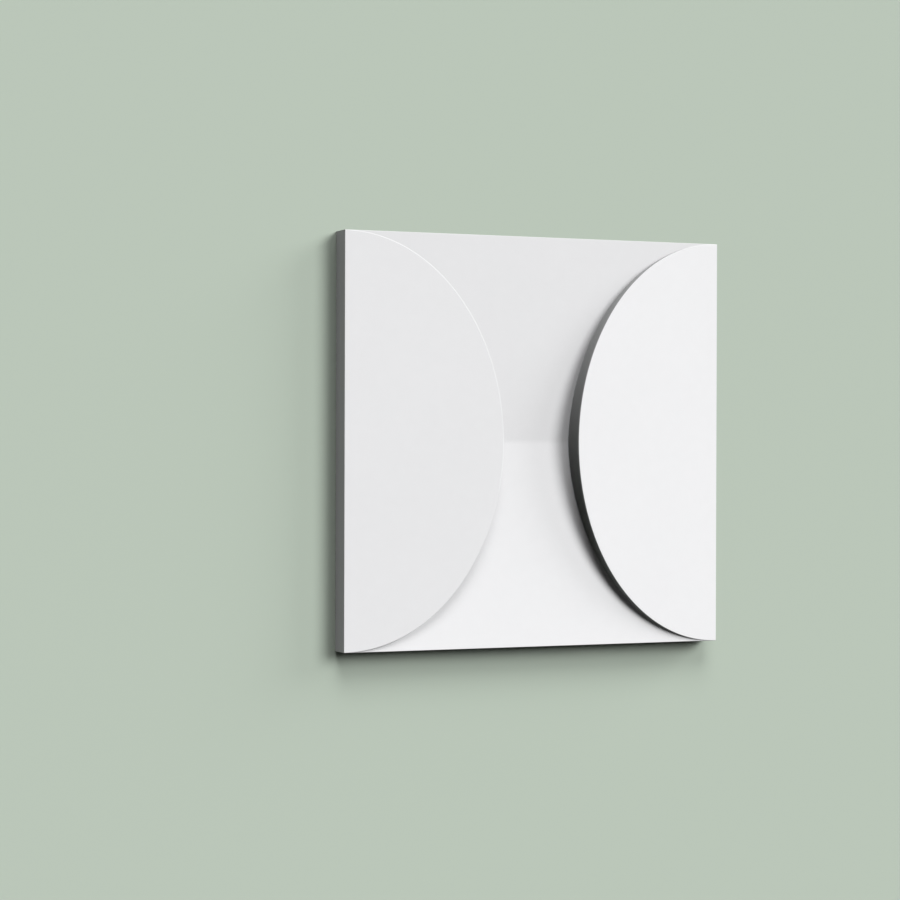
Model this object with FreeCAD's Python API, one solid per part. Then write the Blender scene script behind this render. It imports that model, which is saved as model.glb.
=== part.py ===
import FreeCAD, Part
import math
import os

# A wall panel tile, moulded in one piece, lying on its flat back.
# Two half-ellipse discs lean out of a front that folds down to a crease.
# X runs across the tile, Y up it as it hangs, and Z out of the wall.
# The origin is the middle of the back. Lengths are in millimetres.

# Outline: the sides butt against the next tiles, so they are square and plain
TILE_WIDTH = 333.0
TILE_HEIGHT = 333.0

# Thickness, each measured from the back
EDGE_THICKNESS = 20.0
TIP_THICKNESS = 29.0
CREASE_THICKNESS = 9.0

# Gap between the tips of the two discs, across the middle of the tile
WAIST_GAP = 67.0

# Soft edges left by the mould
RIM_RADIUS = 0.4
ARRIS_RADIUS = 0.3

# What follows from these sizes
left_edge = -TILE_WIDTH / 2
disc_reach = (TILE_WIDTH - WAIST_GAP) / 2
disc_lean = math.atan2(TIP_THICKNESS - EDGE_THICKNESS, disc_reach)
mid_slope = (EDGE_THICKNESS + CREASE_THICKNESS) / 2


def point(x, y, z):
    return FreeCAD.Vector(x, y, z)


def prism(edges, length):
    """A flat outline drawn out along the vector that is its length."""
    return Part.Face(Part.Wire(edges)).extrude(length)


def folded_slab():
    """The tile without its discs: two shallow slopes that meet in the crease."""
    top = TILE_HEIGHT / 2
    corners = [
        point(left_edge, -top, 0),
        point(left_edge, top, 0),
        point(left_edge, top, EDGE_THICKNESS),
        point(left_edge, 0, CREASE_THICKNESS),
        point(left_edge, -top, EDGE_THICKNESS),
    ]
    outline = Part.makePolygon(corners + corners[:1]).Edges
    slab = prism(outline, point(TILE_WIDTH, 0, 0))

    def is_front_edge(edge):
        box = edge.BoundBox
        return box.XLength > disc_reach and box.ZMin > mid_slope

    return slab.makeFillet(ARRIS_RADIUS, [edge for edge in slab.Edges if is_front_edge(edge)])


def half_ellipse():
    """The left disc's outline, from corner to corner of the tile, and its straight side."""
    centre = point(left_edge, 0, 0)
    corner = point(left_edge, TILE_HEIGHT / 2, 0)
    tip = point(left_edge + disc_reach, 0, 0)
    curve = Part.Ellipse(corner, tip, centre)
    bow = Part.ArcOfEllipse(curve, 0, math.pi).toShape()
    side = Part.makeLine(bow.valueAt(bow.LastParameter), bow.valueAt(bow.FirstParameter))
    return [bow, side]


def left_disc():
    """A half-ellipse block whose face leans from edge level at the side up to its tip."""
    block = prism(half_ellipse(), point(0, 0, 2 * TIP_THICKNESS))
    edge_foot = point(left_edge, 0, EDGE_THICKNESS)
    edge_along = point(left_edge, TILE_HEIGHT / 2, EDGE_THICKNESS)
    tip = point(left_edge + disc_reach, 0, TIP_THICKNESS)
    below_face = Part.Plane(edge_foot, edge_along, tip).toShape().makeHalfSpace(point(0, 0, 0))
    disc = block.common(below_face).Solids[0]

    def is_rim(edge):
        return not isinstance(edge.Curve, Part.Line) and edge.BoundBox.ZMax > EDGE_THICKNESS

    return disc.makeFillet(RIM_RADIUS, [edge for edge in disc.Edges if is_rim(edge)])


def left_arris():
    """What the rounded arris takes off the left edge, between the side and the disc's face."""
    setback = ARRIS_RADIUS / math.tan((math.pi / 2 + disc_lean) / 2)
    start = -TILE_HEIGHT
    on_side = point(left_edge, start, EDGE_THICKNESS - setback)
    on_face = point(
        left_edge + setback * math.cos(disc_lean),
        start,
        EDGE_THICKNESS + setback * math.sin(disc_lean),
    )
    centre = on_side + point(ARRIS_RADIUS, 0, 0)
    towards_corner = point(left_edge, start, EDGE_THICKNESS) - centre
    halfway = centre + towards_corner.normalize() * ARRIS_RADIUS
    clear = 2 * ARRIS_RADIUS
    outline = [
        Part.Arc(on_face, halfway, on_side).toShape(),
        Part.makeLine(on_side, on_side - point(clear, 0, 0)),
        Part.makeLine(on_side - point(clear, 0, 0), on_side + point(-clear, 0, clear)),
        Part.makeLine(on_side + point(-clear, 0, clear), point(on_face.x, start, on_side.z + clear)),
        Part.makeLine(point(on_face.x, start, on_side.z + clear), on_face),
    ]
    return prism(outline, point(0, 2 * TILE_HEIGHT, 0))


def both_sides(left_shape):
    """A left-hand shape and its mirror image on the right."""
    return [left_shape, left_shape.mirror(point(0, 0, 0), point(1, 0, 0))]


def wall_tile():
    tile = folded_slab().fuse(both_sides(left_disc())).removeSplitter()
    return tile.cut(both_sides(left_arris())).Solids[0]


os.makedirs("parts", exist_ok=True)
wall_tile().exportStep("parts/wall_tile.step")
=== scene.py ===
import math

import bmesh
import bpy
from mathutils import Matrix, Vector


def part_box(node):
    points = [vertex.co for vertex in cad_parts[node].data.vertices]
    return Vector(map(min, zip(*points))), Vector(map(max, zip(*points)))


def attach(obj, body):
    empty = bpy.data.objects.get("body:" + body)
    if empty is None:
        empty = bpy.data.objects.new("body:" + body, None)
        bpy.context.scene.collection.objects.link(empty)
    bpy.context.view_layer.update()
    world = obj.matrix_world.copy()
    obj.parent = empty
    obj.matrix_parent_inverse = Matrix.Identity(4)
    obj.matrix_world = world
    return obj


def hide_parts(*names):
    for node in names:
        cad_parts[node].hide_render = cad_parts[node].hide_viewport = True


bl_info = {
    "name": "Relief wall tile",
    "version": (1, 0, 0),
    "blender": (4, 5, 0),
    "location": "3D View > Sidebar > Wall tile",
    "description": "Builds a moulded relief wall tile in white primer and the studio it lies in",
    "category": "Object",
}

# Everything is in metres. X runs across the tile, Y up it as it hangs, and Z out of its front.
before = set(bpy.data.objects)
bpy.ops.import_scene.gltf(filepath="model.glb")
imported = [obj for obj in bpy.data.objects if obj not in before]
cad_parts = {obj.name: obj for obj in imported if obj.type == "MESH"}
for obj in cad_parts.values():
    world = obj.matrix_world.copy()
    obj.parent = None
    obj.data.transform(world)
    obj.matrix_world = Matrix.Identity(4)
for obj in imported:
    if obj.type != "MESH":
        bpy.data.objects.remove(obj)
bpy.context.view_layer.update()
tile_low, tile_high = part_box("wall_tile")

MM = 0.001

# Levels this near to each other count as the same
SAME = 0.01 * MM

# Points this near to each other are merged
MERGED = 0.001 * MM

# A face is square to an axis when its normal's part along it is more than this
SQUARE_ON = 0.9999999

# Faces that turn by more than this meet in a crisp fold
FOLD_ANGLE = math.radians(25)

# Faces that turn by less than this are one flat face
FLAT_ANGLE = math.radians(0.1)


# Sizes and colours that a user would change

class TileSizes(bpy.types.PropertyGroup):
    """Real sizes of the moulded tile."""

    width: bpy.props.FloatProperty(
        name="Width", description="Across the tile, side to side",
        default=tile_high.x - tile_low.x, min=0.1, unit="LENGTH")
    height: bpy.props.FloatProperty(
        name="Height", description="Up the tile as it hangs",
        default=tile_high.y - tile_low.y, min=0.1, unit="LENGTH")
    edge_thickness: bpy.props.FloatProperty(
        name="Edge thickness", description="From the back to the front edge, on all four sides",
        default=20 * MM, min=0.005, unit="LENGTH")
    tip_thickness: bpy.props.FloatProperty(
        name="Tip thickness", description="From the back to the tip of each disc's leaning face",
        default=29 * MM, min=0.005, unit="LENGTH")
    crease_thickness: bpy.props.FloatProperty(
        name="Crease thickness", description="From the back to the crease across the middle",
        default=9 * MM, min=0.002, unit="LENGTH")
    waist_gap: bpy.props.FloatProperty(
        name="Waist gap", description="Between the tips of the two discs",
        default=67 * MM, min=0.001, unit="LENGTH")
    rim_radius: bpy.props.FloatProperty(
        name="Rim radius", description="Soft edge round each disc's face",
        default=0.4 * MM, min=0.0001, unit="LENGTH")
    arris_radius: bpy.props.FloatProperty(
        name="Arris radius", description="Soft edge along the tile's front edges",
        default=0.3 * MM, min=0.0001, unit="LENGTH")
    rim_facets: bpy.props.IntProperty(
        name="Rim facets", description="Straight runs in the full ellipse that each disc is half of",
        default=480, min=32, max=1024)
    edge_steps: bpy.props.IntProperty(
        name="Edge steps", description="Steps across each soft edge",
        default=5, min=1, max=12)


class PrimerFinish(bpy.types.PropertyGroup):
    """Look of the factory primer on the front and of the bare foam on the back."""

    primer_colour: bpy.props.FloatVectorProperty(
        name="Primer colour", description="Matt white primer",
        subtype="COLOR", default=(0.86, 0.86, 0.87), min=0, max=1)
    foam_colour: bpy.props.FloatVectorProperty(
        name="Foam colour", description="Bare foam on the trimmed back",
        subtype="COLOR", default=(0.74, 0.72, 0.66), min=0, max=1)
    stipple_size: bpy.props.FloatProperty(
        name="Stipple size", description="Grain of the sprayed coat",
        default=0.9 * MM, min=0.0001, unit="LENGTH")
    stipple_depth: bpy.props.FloatProperty(
        name="Stipple depth", description="How far the grain stands up",
        default=0.04 * MM, min=0, unit="LENGTH")
    wave_depth: bpy.props.FloatProperty(
        name="Wave depth", description="How far the mould's waviness stands up",
        default=0.1 * MM, min=0, unit="LENGTH")


class StudioLook(bpy.types.PropertyGroup):
    """Floor, lamps and camera."""

    floor_colour: bpy.props.FloatVectorProperty(
        name="Floor colour", description="Plain pale floor, as the camera sees it",
        subtype="COLOR", default=(0.51, 0.585, 0.5), min=0, max=1)
    floor_bounce: bpy.props.FloatProperty(
        name="Floor bounce", description="Share of its colour with which the floor lights the tile",
        subtype="FACTOR", default=0.2, min=0, max=1)
    low_level: bpy.props.FloatProperty(
        name="Low lamp", description="Light of the low lamp on the right, which draws the shadows",
        default=0.495, min=0)
    top_level: bpy.props.FloatProperty(
        name="Top lamp", description="Light of the lamp beyond the tile's top edge",
        default=0.467, min=0)
    high_level: bpy.props.FloatProperty(
        name="High lamp", description="Light of the high lamp on the upper right, the main one",
        default=0.69, min=0)
    left_level: bpy.props.FloatProperty(
        name="Left lamp", description="Light of the grazing lamp that lights the tile's left side",
        default=0.053, min=0)
    even_light: bpy.props.FloatProperty(
        name="Even light", description="Light from all round, where 1 lights white to white",
        default=0.01, min=0, max=1)
    light_between_faces: bpy.props.BoolProperty(
        name="Light between faces", description="Let the tile's lit faces light its shaded ones",
        default=False)
    lens: bpy.props.FloatProperty(
        name="Lens", description="Focal length of the camera in millimetres",
        default=93.37, min=10)


# Helpers for modelling

def start_clean():
    """Leaves edit mode and selects nothing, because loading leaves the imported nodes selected."""
    if bpy.context.mode != "OBJECT":
        bpy.ops.object.mode_set(mode="OBJECT")
    bpy.ops.object.select_all(action="DESELECT")


def pick(piece):
    start_clean()
    piece.select_set(True)
    bpy.context.view_layer.objects.active = piece


def select_edges(piece, wanted):
    """In edit mode, selects just the edges whose two ends pass the test."""
    bpy.ops.mesh.select_mode(type="EDGE")
    bpy.ops.mesh.select_all(action="DESELECT")
    mesh = bmesh.from_edit_mesh(piece.data)
    count = 0
    for edge in mesh.edges:
        if wanted(edge.verts[0].co, edge.verts[1].co):
            edge.select_set(True)
            count += 1
    bmesh.update_edit_mesh(piece.data)
    if count == 0:
        raise RuntimeError(f"no edge of {piece.name} passed the test")


def select_faces(piece, wanted):
    """In edit mode, selects just the faces that pass the test."""
    bpy.ops.mesh.select_mode(type="FACE")
    bpy.ops.mesh.select_all(action="DESELECT")
    mesh = bmesh.from_edit_mesh(piece.data)
    for face in mesh.faces:
        face.select_set(wanted(face))
    bmesh.update_edit_mesh(piece.data)


def settle(piece):
    """Puts a finished piece's place into its mesh, so that its object sits at the origin."""
    pick(piece)
    bpy.ops.object.transform_apply(location=True, rotation=True, scale=True)


def near(value, target):
    return abs(value - target) < SAME


# The tile

# The bevel profile that is an arc of a circle
ROUND = 0.5


def add_folded_slab(sizes):
    """A slab whose front slopes from its top and bottom edges down to a crease.

    Its ends stop one arris short, where the discs' own sides take over.
    """
    start_clean()
    bpy.ops.mesh.primitive_cube_add(
        size=1,
        location=(0, 0, sizes.edge_thickness / 2),
        scale=(sizes.width - 2 * sizes.arris_radius, sizes.height, sizes.edge_thickness),
    )
    slab = bpy.context.object
    slab.name = "folded_slab"
    settle(slab)

    bpy.ops.object.mode_set(mode="EDIT")
    bpy.ops.mesh.select_all(action="SELECT")
    bpy.ops.mesh.bisect(plane_co=(0, 0, 0), plane_no=(0, 1, 0))
    front = sizes.edge_thickness

    def is_middle(a, b):
        return near(a.z, front) and near(b.z, front) and near(a.y, 0) and near(b.y, 0)

    def is_top_or_bottom(a, b):
        return near(a.z, front) and near(b.z, front) and near(abs(a.y + b.y), sizes.height)

    select_edges(slab, is_middle)
    bpy.ops.transform.translate(value=(0, 0, sizes.crease_thickness - front))
    select_edges(slab, is_top_or_bottom)
    bpy.ops.mesh.bevel(
        offset=sizes.arris_radius, segments=sizes.edge_steps, profile=ROUND, affect="EDGES")
    bpy.ops.object.mode_set(mode="OBJECT")
    return slab


def disc_reach(sizes):
    """From the tile's side to the disc's tip."""
    return (sizes.width - sizes.waist_gap) / 2


def add_left_disc(sizes):
    """Half an elliptical block, its face leaning from edge level at the side up to its tip.

    The block starts well above its tip and is then cut down to the leaning face.
    """
    side = -sizes.width / 2
    reach = disc_reach(sizes)
    tall = 2 * sizes.tip_thickness
    start_clean()
    bpy.ops.mesh.primitive_cylinder_add(
        vertices=sizes.rim_facets,
        radius=1,
        depth=1,
        end_fill_type="NGON",
        location=(side, 0, tall / 2),
        scale=(reach, sizes.height / 2, tall),
    )
    disc = bpy.context.object
    disc.name = "left_disc"
    settle(disc)

    bpy.ops.object.mode_set(mode="EDIT")
    bpy.ops.mesh.select_all(action="SELECT")
    bpy.ops.mesh.bisect(
        plane_co=(side, 0, 0), plane_no=(1, 0, 0), use_fill=True, clear_inner=True, threshold=SAME)
    rise = sizes.tip_thickness - sizes.edge_thickness
    bpy.ops.mesh.select_all(action="SELECT")
    bpy.ops.mesh.bisect(
        plane_co=(side, 0, sizes.edge_thickness),
        plane_no=(-rise, 0, reach),
        use_fill=True,
        clear_outer=True,
    )
    bpy.ops.object.mode_set(mode="OBJECT")
    soften_outline(disc, side, sizes)
    return disc


def soften_outline(disc, side, sizes):
    """Rounds the disc's face all round: its rim by one radius, its straight side by another."""
    lean = math.atan2(sizes.tip_thickness - sizes.edge_thickness, disc_reach(sizes))
    rim_setback = sizes.rim_radius / math.tan((math.pi / 2 - lean) / 2)
    side_setback = sizes.arris_radius / math.tan((math.pi / 2 + lean) / 2)
    weights = disc.data.attributes.new("bevel_weight_edge", "FLOAT", "EDGE")
    lowest = sizes.edge_thickness - SAME
    for edge in disc.data.edges:
        a, b = (disc.data.vertices[index].co for index in edge.vertices)
        if min(a.z, b.z) < lowest:
            continue
        on_side = near(a.x, side) and near(b.x, side)
        weights.data[edge.index].value = side_setback / rim_setback if on_side else 1.0
    bevel = disc.modifiers.new("soft_outline", "BEVEL")
    bevel.limit_method = "WEIGHT"
    bevel.offset_type = "OFFSET"
    bevel.width = rim_setback
    bevel.segments = sizes.edge_steps
    bevel.profile = ROUND
    bevel.use_clamp_overlap = False
    pick(disc)
    bpy.ops.object.modifier_apply(modifier=bevel.name)


def add_mirror_copy(piece, name):
    """The piece's mirror image about the tile's upright middle plane, with a mesh of its own."""
    pick(piece)
    bpy.ops.object.duplicate(linked=False)
    copy = bpy.context.object
    copy.name = name
    bpy.ops.transform.resize(value=(-1, 1, 1), center_override=(0, 0, 0))
    settle(copy)
    bpy.ops.object.mode_set(mode="EDIT")
    bpy.ops.mesh.select_all(action="SELECT")
    bpy.ops.mesh.normals_make_consistent(inside=False)
    bpy.ops.object.mode_set(mode="OBJECT")
    return copy


def fuse(body, others):
    """Joins the other closed shapes to the body and removes them."""
    for other in others:
        union = body.modifiers.new("union", "BOOLEAN")
        union.operation = "UNION"
        union.solver = "EXACT"
        union.object = other
        pick(body)
        bpy.ops.object.modifier_apply(modifier=union.name)
        bpy.data.objects.remove(other, do_unlink=True)


def shade_like_moulding(piece):
    """Smooth round the soft edges and flat on the flats, with crisp folds."""
    pick(piece)
    bpy.ops.object.shade_smooth_by_angle(angle=FOLD_ANGLE)
    weighted = piece.modifiers.new("flat_faces", "WEIGHTED_NORMAL")
    weighted.mode = "FACE_AREA"
    weighted.weight = 50
    weighted.keep_sharp = True
    bpy.ops.object.modifier_apply(modifier=weighted.name)


def tidy_joins(piece):
    """Clears the spare points and seams that the union leaves, and checks that the shape is closed."""
    pick(piece)
    bpy.ops.object.mode_set(mode="EDIT")
    bpy.ops.mesh.select_all(action="SELECT")
    bpy.ops.mesh.remove_doubles(threshold=MERGED)
    bpy.ops.mesh.normals_make_consistent(inside=False)
    select_faces(piece, lambda face: max(abs(part) for part in face.normal) > SQUARE_ON)
    bpy.ops.mesh.dissolve_limited(angle_limit=FLAT_ANGLE)
    bpy.ops.object.mode_set(mode="OBJECT")
    mesh = bmesh.new()
    mesh.from_mesh(piece.data)
    open_edges = sum(1 for edge in mesh.edges if len(edge.link_faces) != 2)
    mesh.free()
    if open_edges:
        raise RuntimeError(f"{piece.name} has {open_edges} edges that don't join two faces")


# Materials

# How large each blotch of the finish is
DRIFT_SIZE = 120 * MM
MOTTLE_SIZE = 9 * MM
SHEEN_SIZE = 25 * MM
WAVE_SIZE = 45 * MM
OVERSPRAY_SIZE = 3 * MM
FOAM_CELL_SIZE = 0.7 * MM
FOAM_DRIFT_SIZE = 30 * MM

# How deep the cells are that the saw cut open, and how rough it left the foam
FOAM_CELL_DEPTH = 0.15 * MM
FOAM_ROUGHNESS = 0.9

# A Mix node's two inputs and its output, by what it mixes
MIX_SOCKETS = {"RGBA": (6, 7, 2), "FLOAT": (2, 3, 0), "VECTOR": (4, 5, 1)}


def new_material(name):
    material = bpy.data.materials.new(name)
    material.use_nodes = True
    material.node_tree.nodes.clear()
    return material


def add_node(material, kind, inputs=None, **settings):
    """Adds a node. Each input is given as a value or as the output socket that feeds it."""
    node = material.node_tree.nodes.new(kind)
    for name, value in settings.items():
        setattr(node, name, value)
    for name, value in (inputs or {}).items():
        if isinstance(value, bpy.types.NodeSocket):
            material.node_tree.links.new(value, node.inputs[name])
        else:
            node.inputs[name].default_value = value
    return node


def add_noise(material, position, cell_size, detail=2.0, rough=0.5):
    """Noise whose blotches are about as large as cell_size. Its output lies round 0.5."""
    noise = add_node(material, "ShaderNodeTexNoise", {
        "Vector": position, "Scale": 1 / cell_size, "Detail": detail, "Roughness": rough})
    return noise.outputs["Fac"]


def spread(material, value, low, high, from_low=0.3, from_high=0.7):
    """The value, mapped from its own range to low and high."""
    mapped = add_node(material, "ShaderNodeMapRange", {
        "Value": value, "From Min": from_low, "From Max": from_high, "To Min": low, "To Max": high})
    return mapped.outputs["Result"]


def multiply(material, first, second):
    product = add_node(material, "ShaderNodeMath", {0: first, 1: second}, operation="MULTIPLY")
    return product.outputs["Value"]


def tint(material, colour, tone):
    """The colour, made lighter or darker by a tone near 1."""
    shaded = add_node(material, "ShaderNodeVectorMath", {
        0: colour[:], "Scale": tone}, operation="SCALE")
    return shaded.outputs["Vector"]


def bump(material, height, depth, under=None):
    """A relief of the given depth, laid over the relief under it if there is one."""
    inputs = {"Strength": 1.0, "Distance": depth, "Height": height}
    if under is not None:
        inputs["Normal"] = under
    return add_node(material, "ShaderNodeBump", inputs).outputs["Normal"]


def blend(material, factor, first, second, data_type="RGBA"):
    """The first where the factor is 0 and the second where it is 1."""
    mix = add_node(material, "ShaderNodeMix", data_type=data_type)
    first_input, second_input, output = MIX_SOCKETS[data_type]
    links = material.node_tree.links
    links.new(factor, mix.inputs[0])
    for index, source in ((first_input, first), (second_input, second)):
        if isinstance(source, bpy.types.NodeSocket):
            links.new(source, mix.inputs[index])
        else:
            mix.inputs[index].default_value = source
    return mix.outputs[output]


def primer_material(finish):
    """Sprayed matt primer over moulded foam, with the bare foam showing on the trimmed back."""
    material = new_material("white_primer")
    position = add_node(material, "ShaderNodeTexCoord").outputs["Object"]
    height = add_node(material, "ShaderNodeSeparateXYZ", {"Vector": position}).outputs["Z"]

    # The coat's colour drifts a little over the tile and is faintly mottled
    slow = add_noise(material, position, DRIFT_SIZE)
    fast = add_noise(material, position, MOTTLE_SIZE, detail=4)
    drift = spread(material, slow, low=0.994, high=1.006)
    mottle = spread(material, fast, low=0.995, high=1.005)
    primer = tint(material, finish.primer_colour, multiply(material, drift, mottle))

    # Foam cells, cut through by the saw that trimmed the back, with painted shade darkening each pit
    cells = add_node(material, "ShaderNodeTexVoronoi", {
        "Vector": position, "Scale": 1 / FOAM_CELL_SIZE})
    pits = spread(material, cells.outputs["Distance"], low=0, high=1, from_low=0.15, from_high=0.6)
    # Painted shade: the foam is darker towards each pit's middle, where the pit is deepest
    pit_shade_tone = spread(material, pits, low=0.78, high=1, from_low=0, from_high=1)
    foam_noise = add_noise(material, position, FOAM_DRIFT_SIZE)
    foam_drift = spread(material, foam_noise, low=0.96, high=1)
    foam = tint(material, finish.foam_colour, multiply(material, pit_shade_tone, foam_drift))

    # Overspray reaches the back's edge in a slightly ragged line
    overspray = add_noise(material, position, OVERSPRAY_SIZE, detail=4)
    ragged = spread(material, overspray, low=0.1 * MM, high=0.5 * MM)
    below = add_node(material, "ShaderNodeMath", {0: height, 1: ragged}, operation="LESS_THAN")
    bare = below.outputs["Value"]

    # Spray stipple over the mould's slight waviness, on a coat whose matt sheen varies a little
    stipple = add_noise(material, position, finish.stipple_size, detail=3, rough=0.6)
    sheen_noise = add_noise(material, position, SHEEN_SIZE, detail=3)
    sheen = spread(material, sheen_noise, low=0.78, high=0.88)
    waves = add_noise(material, position, WAVE_SIZE)
    wavy = bump(material, waves, finish.wave_depth)
    sprayed = bump(material, stipple, finish.stipple_depth, wavy)
    sawn = bump(material, pits, FOAM_CELL_DEPTH)

    shader = add_node(material, "ShaderNodeBsdfPrincipled", {
        "Base Color": blend(material, bare, primer, foam),
        "Roughness": blend(material, bare, sheen, FOAM_ROUGHNESS, "FLOAT"),
        "IOR": 1.46,
        "Specular IOR Level": 0.25,
        "Normal": blend(material, bare, sprayed, sawn, "VECTOR"),
    })
    add_node(material, "ShaderNodeOutputMaterial", {"Surface": shader.outputs["BSDF"]})
    return material


# Operators

class WALLTILE_OT_tile(bpy.types.Operator):
    """Model the relief tile and give it its primer"""

    bl_idname = "wall_tile.make_tile"
    bl_label = "Relief tile"

    def execute(self, context):
        sizes = context.scene.wall_tile_sizes
        finish = context.scene.wall_tile_finish
        tile = add_folded_slab(sizes)
        left_disc = add_left_disc(sizes)
        right_disc = add_mirror_copy(left_disc, "right_disc")
        fuse(tile, [left_disc, right_disc])
        tidy_joins(tile)
        shade_like_moulding(tile)
        tile.name = "relief_tile"
        tile.data.name = "relief_tile"
        tile.data.materials.clear()
        tile.data.materials.append(primer_material(finish))
        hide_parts("wall_tile")
        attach(tile, "root")
        return {"FINISHED"}


class WALLTILE_OT_studio(bpy.types.Operator):
    """Lay the pale floor, hang the lamps and set the camera at the photograph's angle"""

    bl_idname = "wall_tile.make_studio"
    bl_label = "Studio"

    def execute(self, context):
        look = context.scene.wall_tile_studio
        add_floor(look)
        add_camera(look)
        add_lights(look)
        add_surroundings(look)
        context.scene.objects["relief_tile"].visible_diffuse = look.light_between_faces
        context.scene.view_settings.view_transform = "Standard"
        return {"FINISHED"}


# The floor reaches past every view, and the camera sees all of it
FLOOR_WIDTH = 40
FARTHEST_SEEN = 50

# The camera's place and the point that it looks at, and its turn about that line
CAMERA_PLACE = Vector((-0.8003, -0.0009, 1.7431))
CAMERA_AIM = Vector((-0.0766, -0.0067, 0.020))
CAMERA_ROLL = math.radians(0.164)

# Each lamp's height above the floor, its bearing from the tile's right towards its top, and
# its width, in degrees. The lamps act as if far away, so their distance only places them.
LAMPS = {
    "low": (15, 30, 30),
    "top": (35, 94, 30),
    "high": (55, 37, 30),
    "left": (1.5, 180, 3),
}
LAMP_DISTANCE = 3


def seen_directly(owner):
    """1 for rays from the camera, a reflection or clear glass, and 0 for those of soft light."""
    path = add_node(owner, "ShaderNodeLightPath").outputs
    mirrored = add_node(owner, "ShaderNodeMath", {
        0: path["Is Glossy Ray"], 1: path["Is Transmission Ray"]}, operation="MAXIMUM")
    seen = add_node(owner, "ShaderNodeMath", {
        0: path["Is Camera Ray"], 1: mirrored.outputs["Value"]}, operation="MAXIMUM")
    return seen.outputs["Value"]


def add_floor(look):
    """A plain floor that looks pale and throws little light back up at the tile's sides."""
    start_clean()
    bpy.ops.mesh.primitive_plane_add(size=FLOOR_WIDTH, location=(0, 0, 0))
    floor = bpy.context.object
    floor.name = "floor"
    material = new_material("pale_floor")
    shadowed = (*(part * look.floor_bounce for part in look.floor_colour), 1)
    colour = blend(material, seen_directly(material), shadowed, (*look.floor_colour, 1))
    shader = add_node(material, "ShaderNodeBsdfDiffuse", {"Color": colour})
    add_node(material, "ShaderNodeOutputMaterial", {"Surface": shader.outputs["BSDF"]})
    floor.data.materials.append(material)


def add_camera(look):
    """The camera stands left of the tile and looks down on it, with Y upright in the frame."""
    start_clean()
    bpy.ops.object.camera_add(location=CAMERA_PLACE)
    camera = bpy.context.object
    camera.name = "camera"
    camera.data.lens = look.lens
    forward = (CAMERA_AIM - CAMERA_PLACE).normalized()
    right = forward.cross(Vector((0, 1, 0))).normalized()
    up = right.cross(forward)
    upright = Matrix((right, up, -forward)).transposed()
    camera.rotation_euler = (upright @ Matrix.Rotation(CAMERA_ROLL, 3, "Z")).to_euler()
    camera.data.clip_end = FARTHEST_SEEN
    bpy.context.scene.camera = camera


def add_lights(look):
    """Soft distant lamps. A level of 1 lights white to white on a face square on to the lamp."""
    for name, angles in LAMPS.items():
        height, bearing, width = (math.radians(angle) for angle in angles)
        towards = Vector((
            math.cos(height) * math.cos(bearing),
            math.cos(height) * math.sin(bearing),
            math.sin(height),
        ))
        start_clean()
        bpy.ops.object.light_add(
            type="SUN",
            location=LAMP_DISTANCE * towards,
            rotation=towards.to_track_quat("Z", "Y").to_euler(),
        )
        lamp = bpy.context.object
        lamp.name = f"{name}_lamp"
        lamp.data.angle = width
        lamp.data.energy = math.pi * getattr(look, f"{name}_level")


def add_surroundings(look):
    """Even light from all round, behind a backdrop that looks as pale as the floor."""
    world = bpy.data.worlds.new("studio")
    world.use_nodes = True
    world.node_tree.nodes.clear()
    light = add_node(world, "ShaderNodeBackground", {
        "Color": (1, 1, 1, 1), "Strength": look.even_light})
    backdrop = add_node(world, "ShaderNodeBackground", {"Color": (*look.floor_colour, 1)})
    mix = add_node(world, "ShaderNodeMixShader", {
        0: seen_directly(world),
        1: light.outputs["Background"],
        2: backdrop.outputs["Background"],
    })
    add_node(world, "ShaderNodeOutputWorld", {"Surface": mix.outputs["Shader"]})
    bpy.context.scene.world = world


class WALLTILE_PT_panel(bpy.types.Panel):
    """Lists the tile's sizes and finishes and the buttons that build it"""

    bl_label = "Relief wall tile"
    bl_idname = "WALLTILE_PT_panel"
    bl_space_type = "VIEW_3D"
    bl_region_type = "UI"
    bl_category = "Wall tile"

    def draw(self, context):
        scene = context.scene
        for group in (scene.wall_tile_sizes, scene.wall_tile_finish, scene.wall_tile_studio):
            box = self.layout.box()
            for name in group.bl_rna.properties.keys():
                if name not in ("rna_type", "name"):
                    box.prop(group, name)
        for operator in OPERATORS:
            self.layout.operator(operator.bl_idname)


OPERATORS = (WALLTILE_OT_tile, WALLTILE_OT_studio)
CLASSES = (TileSizes, PrimerFinish, StudioLook, *OPERATORS, WALLTILE_PT_panel)


def register():
    for cls in CLASSES:
        bpy.utils.register_class(cls)
    bpy.types.Scene.wall_tile_sizes = bpy.props.PointerProperty(type=TileSizes)
    bpy.types.Scene.wall_tile_finish = bpy.props.PointerProperty(type=PrimerFinish)
    bpy.types.Scene.wall_tile_studio = bpy.props.PointerProperty(type=StudioLook)


def unregister():
    del bpy.types.Scene.wall_tile_studio
    del bpy.types.Scene.wall_tile_finish
    del bpy.types.Scene.wall_tile_sizes
    for cls in reversed(CLASSES):
        bpy.utils.unregister_class(cls)


def main():
    register()
    bpy.ops.wall_tile.make_tile()
    bpy.ops.wall_tile.make_studio()


if __name__ == "__main__":
    main()
